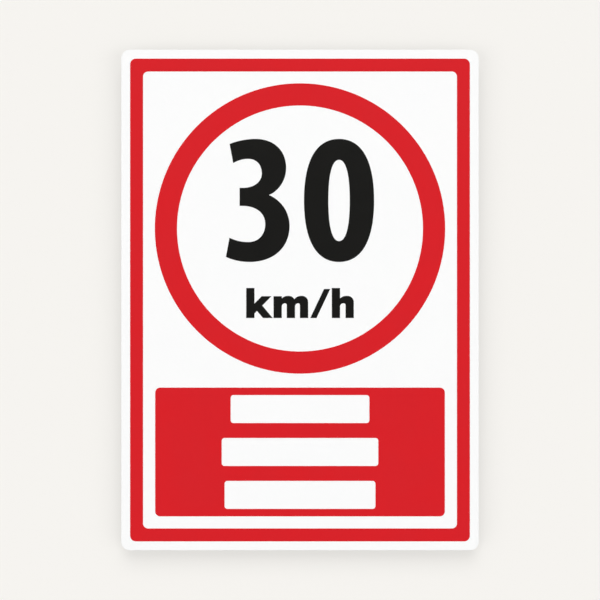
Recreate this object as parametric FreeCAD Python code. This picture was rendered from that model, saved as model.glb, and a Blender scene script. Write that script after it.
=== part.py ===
import FreeCAD, Part
import math
import os

from FreeCAD import Vector

# A speed limit plate: a rigid white sheet with coloured films cut to shape and laid on its front.
# Millimetres. +Z is up the plate, the front faces -Y, and the origin is the middle of the back.

# Sheet
panel_width = 250.0
panel_height = 350.0
panel_thickness = 3.0
panel_corner_radius = 6.0
panel_edge_round = 0.15

# Every film
film_thickness = 0.1

# Red border, inside a white margin
border_margin = 6.25
border_band = 9.0
border_outer_corner_radius = 4.0
border_inner_corner_radius = 3.6

# Red ring, the largest that its clearances leave room for
ring_band = 15.5
ring_border_gap = 8.25
ring_field_gap = 9.75

# Red caption field, with a stack of bars cut out of it where the white sheet shows
field_height = 90.0
field_border_gap = 8.5
field_corner_radius = 3.5
bar_widths = (97.0, 109.5, 105.5)
bar_end_gap = 5.2
bar_spacing = 10.4
bar_corner_radius = 2.0

# Numerals, as drawn before they are fitted into the ring
numeral_ring_clearance = 4.75
numeral_height = 86.0
numeral_drop = 23.4
numeral_spacing = 10.1
side_stroke = 17.0

# Zero
zero_width = 49.0
zero_end_stroke = 14.6
zero_fullness = 0.65

# Three
three_width = 44.5
three_upper_inset = 2.4
three_end_stroke = 13.9
three_middle_stroke = 12.6
three_middle_rise = 2.5
three_fullness = 0.6
upper_crown_offset = 20.8
lower_crown_offset = 16.5
counter_crown_offset = 15.6
tip_inset = 2.6
tip_drop = 3.5
tip_cut_width = 2.5
tip_cut_height = 13.4
middle_bar_inset = 9.6
middle_bar_length = 2.0
waist_depth = 14.5
waist_rise = 1.3
waist_slope = math.radians(21.0)
waist_fullness = 0.5

# Where the bands and fields lie
panel_front = -panel_thickness
border_width = panel_width - 2 * border_margin
border_height = panel_height - 2 * border_margin
clear_width = border_width - 2 * border_band
clear_height = border_height - 2 * border_band

field_width = clear_width - 2 * field_border_gap
field_base = -clear_height / 2 + field_border_gap
field_middle = field_base + field_height / 2
bar_height = (field_height - 2 * bar_end_gap - (len(bar_widths) - 1) * bar_spacing) / len(bar_widths)

ring_zone_top = clear_height / 2 - ring_border_gap
ring_zone_base = field_base + field_height + ring_field_gap
ring_outer_radius = min(clear_width / 2 - ring_border_gap, (ring_zone_top - ring_zone_base) / 2)
ring_inner_radius = ring_outer_radius - ring_band
ring_middle = (ring_zone_top + ring_zone_base) / 2

# The numerals stand side by side, and their upper corners keep the clearance from the ring
numerals_width = three_width + numeral_spacing + zero_width
numerals_reach = math.hypot(numerals_width / 2, numeral_height - numeral_drop)
numeral_scale = (ring_inner_radius - numeral_ring_clearance) / numerals_reach
three_start = -numerals_width / 2
zero_start = three_start + three_width + numeral_spacing


# Outlines, all in the plane of the panel's front

def closed_wire(edges):
    return Part.Wire(Part.__sortEdges__(edges))


def rounded_rectangle(width, height, radius, middle, y=panel_front):
    """A rectangle with round corners, centred across the plate and at the height called middle."""
    straight_x = width / 2 - radius
    straight_z = height / 2 - radius
    edges = []
    for side in (-1, 1):
        upright_x = side * width / 2
        level_z = middle + side * height / 2
        edges.append(Part.makeLine(Vector(upright_x, y, middle - straight_z),
                                   Vector(upright_x, y, middle + straight_z)))
        edges.append(Part.makeLine(Vector(-straight_x, y, level_z), Vector(straight_x, y, level_z)))
        for end in (-1, 1):
            centre = Vector(side * straight_x, y, middle + end * straight_z)
            outwards = Vector(side, 0, end).normalize()
            corner = Part.Arc(centre + Vector(side * radius, 0, 0),
                              centre + outwards * radius,
                              centre + Vector(0, 0, end * radius))
            edges.append(corner.toShape())
    return closed_wire(edges)


def circle(radius, middle):
    """A circle centred across the plate."""
    centre = Vector(0, panel_front, middle)
    return closed_wire([Part.makeCircle(radius, centre, Vector(0, 1, 0))])


def bezier(*poles):
    curve = Part.BezierCurve()
    curve.setPoles(list(poles))
    return curve.toShape()


def quarter_curve(level_end, upright_end, fullness):
    """A quarter of an oval. It runs level at its first end and upright at its second."""
    span = upright_end - level_end
    return bezier(level_end,
                  level_end + Vector(fullness * span.x, 0, 0),
                  upright_end - Vector(0, 0, fullness * span.z),
                  upright_end)


def crown_arc(crown, tip):
    """A round arc that runs level at the crown and ends at the tip."""
    span = tip - crown
    rise_to_centre = span.Length ** 2 / (2 * span.z)
    centre = crown + Vector(0, 0, rise_to_centre)
    halfway = (crown - centre + tip - centre).normalize()
    return Part.Arc(crown, centre + halfway * abs(rise_to_centre), tip).toShape()


def waist_curve(widest, notch, upwards):
    """From the widest point of a bowl of the three, where it runs upright, into the waist."""
    span = notch - widest
    handle = waist_fullness * abs(span.x) / math.cos(waist_slope)
    slant = Vector(math.cos(waist_slope), 0, upwards * math.sin(waist_slope))
    return bezier(widest,
                  widest + Vector(0, 0, waist_fullness * span.z),
                  notch + slant * handle,
                  notch)


def numeral_point(x, z):
    """A drawn point, taken from the middle of the pair and its baseline, on the panel's front."""
    baseline = ring_middle - numeral_scale * numeral_drop
    return Vector(numeral_scale * x, panel_front, baseline + numeral_scale * z)


def three_half(upwards, half_height, reach, crown_offset, inset, widest):
    """One bowl of the three, from the waist round to the end of its tip and back to the middle bar.

    Heights are taken from the middle bar's centre line, up for 1 and down for -1.
    """
    def point(offset, height):
        centre_line = numeral_height / 2 + three_middle_rise
        return numeral_point(three_start + offset, centre_line + upwards * height)

    bar_edge = three_middle_stroke / 2
    counter_crown = half_height - three_end_stroke
    notch = point(three_width - waist_depth, upwards * waist_rise)
    outer_widest = point(reach, widest)
    outer_crown = point(crown_offset, half_height)
    outer_tip = point(inset, half_height - tip_drop)
    inner_tip = point(inset + tip_cut_width, half_height - tip_drop - tip_cut_height)
    inner_crown = point(counter_crown_offset, counter_crown)
    inner_widest = point(reach - side_stroke, (bar_edge + counter_crown) / 2)
    bar_root = point(middle_bar_inset + middle_bar_length, bar_edge)
    bar_corner = point(middle_bar_inset, bar_edge)
    return [
        waist_curve(outer_widest, notch, upwards),
        quarter_curve(outer_crown, outer_widest, three_fullness),
        crown_arc(outer_crown, outer_tip),
        Part.makeLine(outer_tip, inner_tip),
        crown_arc(inner_crown, inner_tip),
        quarter_curve(inner_crown, inner_widest, three_fullness),
        quarter_curve(bar_root, inner_widest, three_fullness),
        Part.makeLine(bar_root, bar_corner),
    ]


def three_outline():
    upper_height = numeral_height / 2 - three_middle_rise
    lower_height = numeral_height / 2 + three_middle_rise
    widest = upper_height / 2
    upper = three_half(1, upper_height, three_width - three_upper_inset, upper_crown_offset,
                       tip_inset, widest)
    lower = three_half(-1, lower_height, three_width, lower_crown_offset, 0.0, widest)
    bar_centre = numeral_height / 2 + three_middle_rise
    bar_x = three_start + middle_bar_inset
    bar_end = Part.makeLine(numeral_point(bar_x, bar_centre + three_middle_stroke / 2),
                            numeral_point(bar_x, bar_centre - three_middle_stroke / 2))
    return closed_wire(upper + lower + [bar_end])


def zero_oval(half_width, half_height):
    """A full oval about the middle of the zero, as four quarters."""
    middle_x = zero_start + zero_width / 2
    middle_z = numeral_height / 2
    quarters = []
    for side in (-1, 1):
        for end in (-1, 1):
            crown = numeral_point(middle_x, middle_z + end * half_height)
            widest = numeral_point(middle_x + side * half_width, middle_z)
            quarters.append(quarter_curve(crown, widest, zero_fullness))
    return closed_wire(quarters)


# Pieces

def panel():
    """The sheet, with its cut edges eased all round, front and back."""
    outline = rounded_rectangle(panel_width, panel_height, panel_corner_radius, 0.0, 0.0)
    sheet = Part.Face(outline).extrude(Vector(0, panel_front, 0))
    rim = []
    for edge in sheet.Edges:
        ends = edge.BoundBox
        if ends.YLength < panel_thickness / 2:
            rim.append(edge)
    return sheet.makeFillet(panel_edge_round, rim)


def film(*outlines):
    """A film cut along its outlines, on the panel's front. Outlines inside the first are windows."""
    face = Part.makeFace(list(outlines), "Part::FaceMakerBullseye")
    return face.extrude(Vector(0, -film_thickness, 0))


def border_film():
    outer = rounded_rectangle(border_width, border_height, border_outer_corner_radius, 0.0)
    inner = rounded_rectangle(clear_width, clear_height, border_inner_corner_radius, 0.0)
    return film(outer, inner)


def ring_film():
    return film(circle(ring_outer_radius, ring_middle), circle(ring_inner_radius, ring_middle))


def caption_field_film():
    outlines = [rounded_rectangle(field_width, field_height, field_corner_radius, field_middle)]
    bar_middle = field_base + field_height - bar_end_gap - bar_height / 2
    for width in bar_widths:
        outlines.append(rounded_rectangle(width, bar_height, bar_corner_radius, bar_middle))
        bar_middle -= bar_height + bar_spacing
    return film(*outlines)


def numeral_3():
    return film(three_outline())


def numeral_0():
    outer = zero_oval(zero_width / 2, numeral_height / 2)
    counter = zero_oval(zero_width / 2 - side_stroke, numeral_height / 2 - zero_end_stroke)
    return film(outer, counter)


def export(name, shape):
    """Writes one piece, as a single closed solid."""
    solid = shape.Solids[0]
    if solid.Volume < 0:
        solid.reverse()
    if len(shape.Solids) != 1 or not solid.isValid():
        raise ValueError(name + " is not one sound solid")
    solid.exportStep("parts/" + name + ".step")


os.makedirs("parts", exist_ok=True)
for piece in (panel, border_film, ring_film, caption_field_film, numeral_3, numeral_0):
    export(piece.__name__, piece())
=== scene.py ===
import math

import bpy
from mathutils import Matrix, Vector


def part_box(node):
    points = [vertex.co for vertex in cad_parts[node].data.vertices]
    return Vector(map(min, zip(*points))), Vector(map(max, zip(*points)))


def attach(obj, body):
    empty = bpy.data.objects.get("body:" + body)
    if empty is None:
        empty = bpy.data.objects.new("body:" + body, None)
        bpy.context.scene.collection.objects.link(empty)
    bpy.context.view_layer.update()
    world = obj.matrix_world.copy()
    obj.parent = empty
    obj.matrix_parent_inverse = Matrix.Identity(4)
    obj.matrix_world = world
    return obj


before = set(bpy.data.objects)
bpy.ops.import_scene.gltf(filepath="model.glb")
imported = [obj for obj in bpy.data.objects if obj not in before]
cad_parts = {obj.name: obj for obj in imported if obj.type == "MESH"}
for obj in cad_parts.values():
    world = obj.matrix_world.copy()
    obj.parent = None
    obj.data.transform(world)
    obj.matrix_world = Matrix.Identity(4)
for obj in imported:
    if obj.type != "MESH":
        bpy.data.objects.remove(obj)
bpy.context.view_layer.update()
bpy.ops.object.select_all(action="DESELECT")

# A speed limit plate on a pale wall: the finishes of its sheet and films, the cut letters of its
# speed unit, and the studio round it.
# Metres. The plate stands upright, its front faces -Y, and the middle of its back is the origin.
MM = 0.001

# Sizes taken from the plate's own pieces
panel_low, panel_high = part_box("panel")
ring_low, ring_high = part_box("ring_film")
plate_width = panel_high.x - panel_low.x
plate_height = panel_high.z - panel_low.z
sheet_thickness = panel_high.y - panel_low.y
sheet_middle = (panel_low.y + panel_high.y) / 2
panel_front = panel_low.y
film_front = ring_low.y
film_thickness = panel_front - film_front
film_middle = (panel_front + film_front) / 2
ring_middle = (ring_low.z + ring_high.z) / 2

# The speed unit, in black film below the numerals. Its letters are shaped in millimetres,
# a thousand times too large, and are brought to their real size when they are done.
# The drop is from the ring's middle to their feet.
unit_drop = 62.6
unit_stem = 5.75
unit_ascender = 21.0
short_stem_height = 15.25
k_to_m_gap = 0.6
m_to_slash_gap = 1.5
slash_to_h_gap = 1.15

# Its k, with the arm and the leg that meet in a crotch
k_width = 18.5
k_stroke = 6.8
k_crotch_height = 8.7
k_crotch_inset = 6.4
k_arm_inset = 0.9
k_arm_base = 1.5

# The arches of its m and h, and the spaces under them
arch_height = 15.5
arch_stroke = 5.2
arch_overlap = 1.7
arch_spring_round = 6.0
arch_shoulder_round = 4.35
m_spaces = (3.5, 3.45)
h_spaces = (3.85,)
counter_spring_round = 2.2
counter_shoulder_round = 1.2

# Its slash
slash_height = 20.3
slash_stroke = 4.3
slash_lean = 9.6

# How its letters are roughed out and cleaned up. The angle is in radians.
round_steps = 12
overrun = 1.0
rough_depth = 1.0
depth_step = 0.3
cutter_overrun = 2 * overrun
cutter_depth = 2 * rough_depth + depth_step
same_place = 0.001
same_plane_angle = 0.001

# Colours of the finishes, each a faint drift from the first to the second. On the cut edges the tone
# follows the cutter marks instead, partly as painted shade and painted light on their ridges.
red_thin = (0.650, 0.0122, 0.0182, 1.0)
red_full = (0.670, 0.0110, 0.0168, 1.0)
black_thin = (0.0024, 0.0024, 0.0018, 1.0)
black_full = (0.0012, 0.0012, 0.0008, 1.0)
sheet_dull = (0.935, 0.938, 0.938, 1.0)
sheet_bright = (0.943, 0.945, 0.943, 1.0)
# The cut edges' tone, which runs between these two along the cutter marks: partly the cut's own duller
# tone, partly painted shade and painted light on the ridges.
cut_tone_painted_shade = (0.85, 0.85, 0.84, 1.0)
cut_tone_painted_light = (0.94, 0.94, 0.935, 1.0)

# Gloss of the finishes: their lowest and highest roughness, and how much they mirror
red_satin = (0.38, 0.46)
black_satin = (0.40, 0.48)
sheet_satin = (0.50, 0.60)
cut_roughness = 0.75
film_specular = 0.1
sheet_specular = 0.4

# How fine the films' noises are, in repeats to a metre, and how deep their relief is
film_drift_scale = 35
film_satin_scale = 90
film_ripple_scale = 700
film_ripple_depth = 0.06 * MM
film_grain_scale = 2600
film_grain_depth = 0.015 * MM

# The same for the sheet, and for the marks that the cutter left on its edges
sheet_drift_scale = 22
sheet_satin_scale = 70
sheet_mottle_scale = 600
sheet_mottle_depth = 0.075 * MM
sheet_grain_scale = 2200
sheet_grain_depth = 0.015 * MM
cutter_mark_scale = 1300
cutter_mark_depth = 0.12 * MM
cutter_mark_stretch = 0.03

# Where nearly all of a noise lies
noise_floor = 0.3
noise_ceiling = 0.7

# How near to its front or back the sheet still has the finish of that face
face_skin = 0.08 * MM

# Photograph framing
photo_width_px = 600
plate_width_px = 357.6
camera_lens_mm = 85.0
camera_sensor_mm = 36.0

# Studio cove, and the card behind the plate
wall_gap = 11.0 * MM
wall_height = 4.0
cove_width = 8.0
cove_radius = 0.5
cove_steps = 24
floor_drop = 1.4
floor_depth = 5.0
flag_gap = 0.2 * MM
stage_tolerance = 1.0 * MM

# Studio paint. The shares are the parts of its brightness that the lamps give.
wall_colour = (0.915, 0.898, 0.864, 1.0)
shadow_share = 0.39
floor_shadow_share = 0.04
floor_fade_height = 2 * cove_radius
card_black = (0.0, 0.0, 0.0, 1.0)

# Studio light. The lamps stand far off, so that they light the plate evenly. The spread loss makes
# up for nearly all that such a large lamp gives less than a small one, so little of the white clips.
plain_white = (1.0, 1.0, 1.0, 1.0)
backdrop_strength = 1.0
ambient_strength = 0.35
lamp_distance = 36.0
lamp_size = 23.4
lamp_spread_loss = 1.12


# Shaping

def activate(piece):
    """Selects a piece alone, so that the operators act on it and on nothing else."""
    bpy.ops.object.select_all(action="DESELECT")
    piece.select_set(True)
    bpy.context.view_layer.objects.active = piece


def select_points(piece, wanted):
    """Enters edit mode with only the wanted points selected, and the edges between them."""
    activate(piece)
    bpy.ops.object.mode_set(mode="EDIT")
    bpy.ops.mesh.select_mode(type="VERT")
    bpy.ops.mesh.select_all(action="DESELECT")
    bpy.ops.object.mode_set(mode="OBJECT")
    for point in piece.data.vertices:
        point.select = wanted(point.co)
    bpy.ops.object.mode_set(mode="EDIT")


def settle(name, size):
    """Names the primitive just added, gives it its size and puts its place into its mesh."""
    piece = bpy.context.active_object
    piece.name = name
    piece.scale = size
    bpy.ops.object.transform_apply(location=True, rotation=True, scale=True)
    return piece


def block(name, left, right, base, top, depth):
    """A block centred on the film's thickness, given by its four sides and its depth."""
    middle = ((left + right) / 2, film_middle / MM, (base + top) / 2)
    bpy.ops.object.select_all(action="DESELECT")
    bpy.ops.mesh.primitive_cube_add(size=1, location=middle)
    return settle(name, (right - left, depth, top - base))


def film_blank(name, left, right, base, top):
    """A rectangle of film on the front of the sheet, given by its four sides."""
    return block(name, left, right, base, top, film_thickness / MM)


def lean(piece, height, shift):
    """Slides the points at a height sideways, so that an upright blank becomes a slanted stroke."""
    select_points(piece, lambda co: abs(co.z - height) < same_place)
    bpy.ops.transform.translate(value=(shift, 0, 0))
    bpy.ops.object.mode_set(mode="OBJECT")
    return piece


def round_corner(piece, x, z, radius):
    """Rounds the corner of a block that runs through it at the given place."""
    select_points(piece, lambda co: abs(co.x - x) < same_place and abs(co.z - z) < same_place)
    bpy.ops.mesh.bevel(offset=radius, segments=round_steps, affect="EDGES")
    bpy.ops.object.mode_set(mode="OBJECT")
    return piece


def combine(piece, other, operation):
    """Joins the other shape to the piece, cuts it away or keeps what they share, and removes it."""
    activate(piece)
    modifier = piece.modifiers.new("combine", "BOOLEAN")
    modifier.operation = operation
    modifier.object = other
    modifier.solver = "EXACT"
    bpy.ops.object.modifier_apply(modifier=modifier.name)
    bpy.data.objects.remove(other)
    bpy.ops.object.mode_set(mode="EDIT")
    bpy.ops.mesh.select_all(action="SELECT")
    bpy.ops.mesh.remove_doubles(threshold=same_place)
    bpy.ops.mesh.dissolve_limited(angle_limit=same_plane_angle)
    bpy.ops.object.mode_set(mode="OBJECT")
    return piece


def finish_piece(piece, material):
    """Brings a letter to its real size, gives it its finish and lets it go with the plate."""
    activate(piece)
    bpy.ops.object.mode_set(mode="EDIT")
    bpy.ops.mesh.select_all(action="SELECT")
    bpy.ops.mesh.normals_make_consistent(inside=False)
    bpy.ops.mesh.vert_connect_concave()
    bpy.ops.object.mode_set(mode="OBJECT")
    piece.scale = (MM, MM, MM)
    bpy.ops.object.transform_apply(location=True, rotation=True, scale=True)
    piece.data.materials.clear()
    piece.data.materials.append(material)
    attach(piece, "root")


# The speed unit's letters. Each is roughed out deep, with its strokes running past its left side
# and its foot, and is then trimmed by a film blank. No two strokes are equally deep.

def stroke(order, left, right, base, top):
    """A rough stroke, deeper than the strokes of a lower order."""
    return block("stroke", left, right, base, top, rough_depth + order * depth_step)


def trim(piece, name, left, right, base, top):
    """Keeps what lies in the film, right of the letter's left side and above its foot."""
    blank = film_blank(name, left, right + overrun, base, top + overrun)
    return combine(blank, piece, "INTERSECT")


def letter_k(left, base):
    """A stem, an arm that rises from it to the right, and a leg that falls to the right."""
    right = left + k_width
    rough = stroke(0, left - overrun, left + unit_stem, base - overrun, base + unit_ascender)
    arm_right = right - k_arm_inset
    arm_slope = k_crotch_inset / (short_stem_height - k_crotch_height)
    arm_shift = arm_slope * (short_stem_height - k_arm_base)
    arm = stroke(1, arm_right - k_stroke, arm_right, base + k_arm_base, base + short_stem_height)
    lean(arm, base + k_arm_base, -arm_shift)
    combine(rough, arm, "UNION")
    leg_slope = (k_arm_inset + k_crotch_inset) / k_crotch_height
    leg_right = right + leg_slope * overrun
    leg_shift = leg_slope * (k_crotch_height + overrun)
    leg = stroke(2, leg_right - k_stroke, leg_right, base - overrun, base + k_crotch_height)
    lean(leg, base + k_crotch_height, -leg_shift)
    combine(rough, leg, "UNION")
    return trim(rough, "unit_k", left, right, base, base + unit_ascender)


def arch(order, left, right, base):
    """A leg with the round shoulder that springs from the stem before it."""
    top = base + arch_height
    rough = stroke(order, left, right, base - overrun, top)
    round_corner(rough, left, top, arch_spring_round)
    return round_corner(rough, right, top, arch_shoulder_round)


def counter(left, right, base):
    """The cutter for the space under an arch, longer at its foot and deeper than any stroke."""
    top = base + arch_height - arch_stroke
    cutter = block("cutter", left, right, base - cutter_overrun, top, cutter_depth)
    round_corner(cutter, left, top, counter_spring_round)
    return round_corner(cutter, right, top, counter_shoulder_round)


def arched_letter(name, left, base, stem_height, spaces):
    """A stem, with one arch and leg after it for each space."""
    rough = stroke(0, left - overrun, left + unit_stem, base - overrun, base + stem_height)
    stem_end = left + unit_stem
    for order, space in enumerate(spaces, start=1):
        leg_end = stem_end + space + unit_stem
        combine(rough, arch(order, stem_end - arch_overlap, leg_end, base), "UNION")
        stem_end = leg_end
    stem_end = left + unit_stem
    for space in spaces:
        combine(rough, counter(stem_end, stem_end + space, base), "DIFFERENCE")
        stem_end += space + unit_stem
    return trim(rough, name, left, stem_end, base, base + max(stem_height, arch_height))


def slash(left, base):
    """One slanted stroke."""
    blank = film_blank("unit_slash", left, left + slash_stroke, base, base + slash_height)
    return lean(blank, base + slash_height, slash_lean)


def arched_width(spaces):
    """The width of a stem with one arch and leg after it for each space."""
    return unit_stem + sum(space + unit_stem for space in spaces)


def speed_unit(material):
    """The letters of the unit, set side by side about the middle of the plate."""
    base = ring_middle / MM - unit_drop
    m_start = k_width + k_to_m_gap
    slash_start = m_start + arched_width(m_spaces) + m_to_slash_gap
    h_start = slash_start + slash_stroke + slash_lean + slash_to_h_gap
    left = -(h_start + arched_width(h_spaces)) / 2
    pieces = [
        letter_k(left, base),
        arched_letter("unit_m", left + m_start, base, short_stem_height, m_spaces),
        slash(left + slash_start, base),
        arched_letter("unit_h", left + h_start, base, unit_ascender, h_spaces),
    ]
    for piece in pieces:
        finish_piece(piece, material)


# Nodes that the finishes and the studio share

def feed(tree, value, socket):
    """Gives a socket a plain value, or links it to another node's output."""
    if isinstance(value, bpy.types.NodeSocket):
        tree.links.new(value, socket)
    else:
        socket.default_value = value


def object_coordinates(tree):
    """The place on a piece, in its own coordinates."""
    return tree.nodes.new("ShaderNodeTexCoord").outputs["Object"]


def along(tree, axis):
    """The place along one axis of the piece."""
    parts = tree.nodes.new("ShaderNodeSeparateXYZ")
    tree.links.new(object_coordinates(tree), parts.inputs["Vector"])
    return parts.outputs[axis]


def remap(tree, value, start, end, low, high, interpolation="LINEAR"):
    """Runs from low to high while the value runs from start to end."""
    node = tree.nodes.new("ShaderNodeMapRange")
    node.interpolation_type = interpolation
    node.inputs["From Min"].default_value = start
    node.inputs["From Max"].default_value = end
    node.inputs["To Min"].default_value = low
    node.inputs["To Max"].default_value = high
    tree.links.new(value, node.inputs["Value"])
    return node.outputs["Result"]


def blend(tree, kind, factor, first, second):
    """Goes from the first value to the second. The kind is RGBA for colours and FLOAT for numbers."""
    node = tree.nodes.new("ShaderNodeMix")
    node.data_type = kind
    feed(tree, first, node.inputs["A"])
    feed(tree, second, node.inputs["B"])
    feed(tree, factor, node.inputs["Factor"])
    return node.outputs["Result"]


def mix_shaders(tree, factor, first, second):
    """Goes from the first shader to the second."""
    node = tree.nodes.new("ShaderNodeMixShader")
    tree.links.new(factor, node.inputs["Fac"])
    tree.links.new(first, node.inputs[1])
    tree.links.new(second, node.inputs[2])
    return node.outputs["Shader"]


# Finishes

def noise(tree, coordinates, scale, detail=3, roughness=0.5):
    """A soft random pattern that runs through space."""
    node = tree.nodes.new("ShaderNodeTexNoise")
    node.inputs["Scale"].default_value = scale
    node.inputs["Detail"].default_value = detail
    node.inputs["Roughness"].default_value = roughness
    tree.links.new(coordinates, node.inputs["Vector"])
    return node.outputs["Fac"]


def fine_grain(tree, coordinates, scale):
    """The finest noise of a finish."""
    return noise(tree, coordinates, scale, detail=2, roughness=0.6)


def stretch(tree, texture, low=0.0, high=1.0):
    """Stretches the middle of a noise to run from low to high."""
    return remap(tree, texture, noise_floor, noise_ceiling, low, high)


def bump(tree, height, depth, below=None, strength=1.0):
    """Fine relief of the given depth, laid over the relief below it where there is one."""
    node = tree.nodes.new("ShaderNodeBump")
    node.inputs["Distance"].default_value = depth
    feed(tree, strength, node.inputs["Strength"])
    tree.links.new(height, node.inputs["Height"])
    if below is not None:
        tree.links.new(below, node.inputs["Normal"])
    return node.outputs["Normal"]


def plastic(name):
    """A material with the plain plastic shader, its node tree and that shader."""
    material = bpy.data.materials.new(name)
    material.use_nodes = True
    return material, material.node_tree, material.node_tree.nodes["Principled BSDF"]


def film_finish(name, thin, full, satin):
    """Satin cut film: a faint drift in its ink, a soft ripple and a fine grain."""
    material, tree, shader = plastic(name)
    place = object_coordinates(tree)
    drift = stretch(tree, noise(tree, place, film_drift_scale))
    ripple = noise(tree, place, film_ripple_scale)
    grain = fine_grain(tree, place, film_grain_scale)
    rippled = bump(tree, ripple, film_ripple_depth)
    grained = bump(tree, grain, film_grain_depth, below=rippled)
    gloss = stretch(tree, noise(tree, place, film_satin_scale), *satin)
    tree.links.new(blend(tree, "RGBA", drift, thin, full), shader.inputs["Base Color"])
    tree.links.new(gloss, shader.inputs["Roughness"])
    tree.links.new(grained, shader.inputs["Normal"])
    shader.inputs["Specular IOR Level"].default_value = film_specular
    return material


def cut_edge(tree):
    """One on the cut edges of the sheet, between its two faces, and nought on its front and back."""
    between_faces = tree.nodes.new("ShaderNodeMath")
    between_faces.operation = "COMPARE"
    tree.links.new(along(tree, "Y"), between_faces.inputs[0])
    between_faces.inputs[1].default_value = sheet_middle
    between_faces.inputs[2].default_value = sheet_thickness / 2 - face_skin
    return between_faces.outputs["Value"]


def cutter_marks(tree, place):
    """Fine ridges that run straight through the sheet's thickness. They shape the edge's relief and also
    its painted ridge shade.
    """
    through = tree.nodes.new("ShaderNodeMapping")
    through.inputs["Scale"].default_value = (1.0, cutter_mark_stretch, 1.0)
    tree.links.new(place, through.inputs["Vector"])
    return noise(tree, through.outputs["Vector"], cutter_mark_scale, roughness=0.65)


def sheet_finish():
    """Satin white plastic sheet, with the cutter's marks on its edges, in relief and in painted shade
    and light.
    """
    material, tree, shader = plastic("white_sheet")
    place = object_coordinates(tree)
    edge = cut_edge(tree)
    marks = cutter_marks(tree, place)
    drift = stretch(tree, noise(tree, place, sheet_drift_scale))
    face_colour = blend(tree, "RGBA", drift, sheet_dull, sheet_bright)
    # The cut edges' streaks follow the cutter marks: painted shade and painted light on their ridges,
    # over the cut's own tone.
    cut_tone_and_painted_ridges = blend(tree, "RGBA", stretch(tree, marks), cut_tone_painted_shade, cut_tone_painted_light)
    gloss = stretch(tree, noise(tree, place, sheet_satin_scale), *sheet_satin)
    mottle = noise(tree, place, sheet_mottle_scale)
    grain = fine_grain(tree, place, sheet_grain_scale)
    mottled = bump(tree, mottle, sheet_mottle_depth)
    grained = bump(tree, grain, sheet_grain_depth, below=mottled)
    marked = bump(tree, marks, cutter_mark_depth, below=grained, strength=edge)
    tree.links.new(blend(tree, "RGBA", edge, face_colour, cut_tone_and_painted_ridges), shader.inputs["Base Color"])
    tree.links.new(blend(tree, "FLOAT", edge, gloss, cut_roughness), shader.inputs["Roughness"])
    tree.links.new(marked, shader.inputs["Normal"])
    shader.inputs["Specular IOR Level"].default_value = sheet_specular
    return material


def dress(nodes, material):
    """Gives the plate's own pieces their finish."""
    for node in nodes:
        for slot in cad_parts[node].material_slots:
            slot.material = material


# Stage

def seen_directly(tree):
    """One for what the camera sees, also by reflection or through glass, and nought for light."""
    path = tree.nodes.new("ShaderNodeLightPath")
    seen = path.outputs["Is Camera Ray"]
    for ray in ("Is Glossy Ray", "Is Transmission Ray"):
        either = tree.nodes.new("ShaderNodeMath")
        either.operation = "MAXIMUM"
        tree.links.new(seen, either.inputs[0])
        tree.links.new(path.outputs[ray], either.inputs[1])
        seen = either.outputs["Value"]
    return seen


def one_sided(tree, shader):
    """Shows the shader on the front of a surface only, and nothing from behind."""
    clear = tree.nodes.new("ShaderNodeBsdfTransparent")
    side = tree.nodes.new("ShaderNodeNewGeometry")
    output = tree.nodes.new("ShaderNodeOutputMaterial")
    surface = mix_shaders(tree, side.outputs["Backfacing"], shader, clear.outputs["BSDF"])
    tree.links.new(surface, output.inputs["Surface"])


def matt_paint(name, colour):
    """A material with nothing in it yet but matt paint, its node tree and the paint's shader."""
    material = bpy.data.materials.new(name)
    material.use_nodes = True
    tree = material.node_tree
    tree.nodes.clear()
    paint = tree.nodes.new("ShaderNodeBsdfDiffuse")
    paint.inputs["Color"].default_value = colour
    return material, tree, paint.outputs["BSDF"]


def wall_paint(floor_z):
    """Pale paint that takes only a part of its brightness from the lamps, and least on the floor."""
    material, tree, paint = matt_paint("wall_paint", wall_colour)
    glow = tree.nodes.new("ShaderNodeEmission")
    glow.inputs["Color"].default_value = wall_colour
    tree.links.new(seen_directly(tree), glow.inputs["Strength"])
    fade_end = floor_z + floor_fade_height
    share = remap(tree, along(tree, "Z"), floor_z, fade_end, floor_shadow_share, shadow_share,
                  interpolation="SMOOTHSTEP")
    one_sided(tree, mix_shaders(tree, share, glow.outputs["Emission"], paint))
    return material


def flat_card(name, middle, width, length, tilt=0.0):
    """A flat rectangle of the stage, tilted from level about the line that runs left to right."""
    bpy.ops.object.select_all(action="DESELECT")
    bpy.ops.mesh.primitive_plane_add(size=1, location=middle, rotation=(tilt, 0, 0))
    return settle(name, (width, length, 1))


def cove():
    """A floor that curves up into a wall close behind the plate. The plate shows through its back."""
    wall_y = panel_high.y + wall_gap
    floor_z = panel_low.z - floor_drop
    stage = flat_card("studio_cove", (0, wall_y - floor_depth / 2, floor_z), cove_width, floor_depth)

    def at_wall(co):
        return co.y > wall_y - stage_tolerance

    def at_floor(co):
        return co.z < floor_z + stage_tolerance

    select_points(stage, at_wall)
    bpy.ops.mesh.extrude_region_move(TRANSFORM_OT_translate={"value": (0, 0, wall_height)})
    bpy.ops.object.mode_set(mode="OBJECT")
    select_points(stage, lambda co: at_wall(co) and at_floor(co))
    bpy.ops.mesh.bevel(offset=cove_radius, segments=cove_steps, affect="EDGES")
    bpy.ops.object.mode_set(mode="OBJECT")
    bpy.ops.object.shade_smooth()
    stage.data.materials.append(wall_paint(floor_z))
    stage.visible_diffuse = False
    stage.visible_glossy = False
    stage.visible_transmission = False
    stage.visible_shadow = False


def black_flag():
    """A black card that no camera sees. It keeps light off the wall that the plate's back throws."""
    middle = (0, panel_high.y + flag_gap, 0)
    flag = flat_card("studio_flag", middle, plate_width, plate_height, tilt=-math.pi / 2)
    material, tree, paint = matt_paint("flag_black", card_black)
    one_sided(tree, paint)
    flag.data.materials.append(material)
    flag.visible_camera = False
    flag.visible_glossy = False
    flag.visible_transmission = False
    flag.visible_shadow = False


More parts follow.
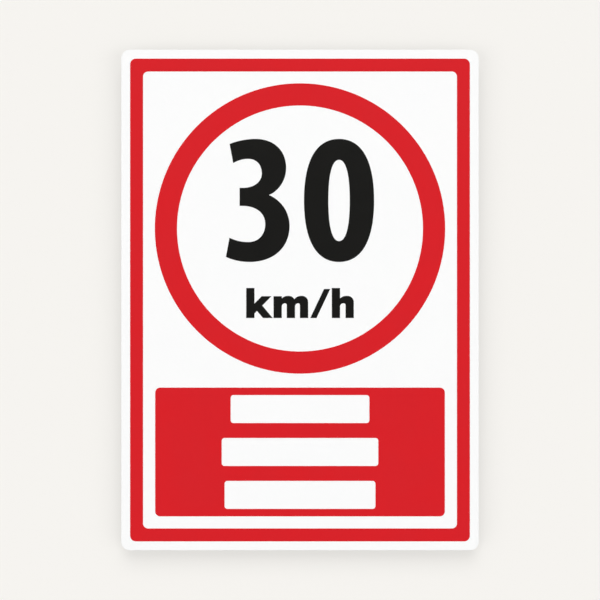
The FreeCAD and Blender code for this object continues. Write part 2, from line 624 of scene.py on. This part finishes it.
def background(tree, colour, strength):
    """The same light from all round."""
    node = tree.nodes.new("ShaderNodeBackground")
    node.inputs["Color"].default_value = colour
    node.inputs["Strength"].default_value = strength
    return node.outputs["Background"]


def studio_air():
    """Even surroundings. What the camera sees of them is paler than the light that they give."""
    world = bpy.data.worlds.new("studio_air")
    bpy.context.scene.world = world
    world.use_nodes = True
    tree = world.node_tree
    tree.nodes.clear()
    light = background(tree, plain_white, ambient_strength)
    backdrop = background(tree, wall_colour, backdrop_strength)
    output = tree.nodes.new("ShaderNodeOutputWorld")
    surface = mix_shaders(tree, seen_directly(tree), light, backdrop)
    tree.links.new(surface, output.inputs["Surface"])


def soft_lamp(name, azimuth, elevation, share):
    """A large square lamp aimed at the plate. Share is the part it gives of a plain light level."""
    turn = math.radians(azimuth)
    rise = math.radians(elevation)
    towards = Vector((math.sin(turn) * math.cos(rise), -math.cos(turn) * math.cos(rise), math.sin(rise)))
    facing = abs(towards.y)
    # The watts with which a small lamp, square on to white paint, makes it render as full white
    plain_power = math.pi ** 2 * lamp_distance ** 2
    bpy.ops.object.light_add(type="AREA", location=towards * lamp_distance)
    lamp = bpy.context.active_object
    lamp.name = name
    lamp.data.shape = "SQUARE"
    lamp.data.size = lamp_size
    lamp.data.energy = share * lamp_spread_loss * plain_power / facing
    lamp.rotation_mode = "QUATERNION"
    lamp.rotation_quaternion = towards.to_track_quat("Z", "Y")
    lamp.visible_camera = False


def camera():
    """Square on to the plate, far enough back to show it almost flat."""
    seen_width = plate_width * photo_width_px / plate_width_px
    distance = seen_width * camera_lens_mm / camera_sensor_mm
    bpy.ops.object.camera_add(location=(0, film_front - distance, 0), rotation=(math.pi / 2, 0, 0))
    viewer = bpy.context.active_object
    viewer.data.lens = camera_lens_mm
    viewer.data.sensor_width = camera_sensor_mm
    bpy.context.scene.camera = viewer


# Putting it together

red_film = film_finish("red_film", red_thin, red_full, red_satin)
black_film = film_finish("black_film", black_thin, black_full, black_satin)

dress(["panel"], sheet_finish())
dress(["border_film", "ring_film", "caption_field_film"], red_film)
dress(["numeral_3", "numeral_0"], black_film)
speed_unit(black_film)

cove()
black_flag()
studio_air()
soft_lamp("lamp_top", azimuth=0, elevation=40, share=0.36)
soft_lamp("lamp_left", azimuth=-40, elevation=-10, share=0.16)
soft_lamp("lamp_right", azimuth=40, elevation=-10, share=0.16)
soft_lamp("lamp_behind", azimuth=180, elevation=10, share=0.5)
camera()

bpy.context.scene.view_settings.view_transform = "Standard"
